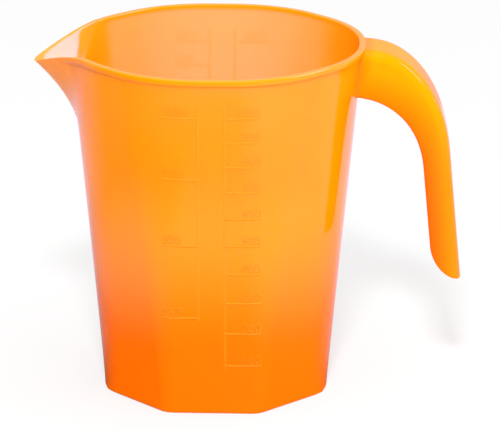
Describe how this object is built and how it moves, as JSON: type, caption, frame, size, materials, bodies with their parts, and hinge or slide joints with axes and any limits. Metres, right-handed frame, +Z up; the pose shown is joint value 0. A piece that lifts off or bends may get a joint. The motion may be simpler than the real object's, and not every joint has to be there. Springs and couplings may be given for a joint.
{
  "type": "measuring jug",
  "caption": "Tapered translucent plastic jug, octagonal at the base and round at the rim, with a beak spout, an open hooked handle and a raised double scale for measuring liquids.",
  "frame": {"origin": "middle of the standing face, on the axis of the body", "axes": "+X towards the handle, -X towards the spout, -Y the front with its scale, +Z up"},
  "size_m": [0.1739, 0.1204, 0.1435],
  "materials": {
    "body_plastic": "glossy translucent polypropylene",
    "handle_plastic": "glossy translucent polypropylene",
    "scale_plastic": "glossy translucent polypropylene, raised"
  },
  "bodies": {
    "root": {"foot_ring": "body_plastic", "floor": "body_plastic", "body_wall": "body_plastic", "rim_bead": "body_plastic", "spout": "body_plastic", "handle_back": "handle_plastic", "handle_cheek_front": "handle_plastic", "handle_cheek_rear": "handle_plastic", "fine_scale_front": "scale_plastic", "coarse_scale_front": "scale_plastic", "fine_scale_rear": "scale_plastic", "coarse_scale_rear": "scale_plastic"}
  },
  "joints": []
}
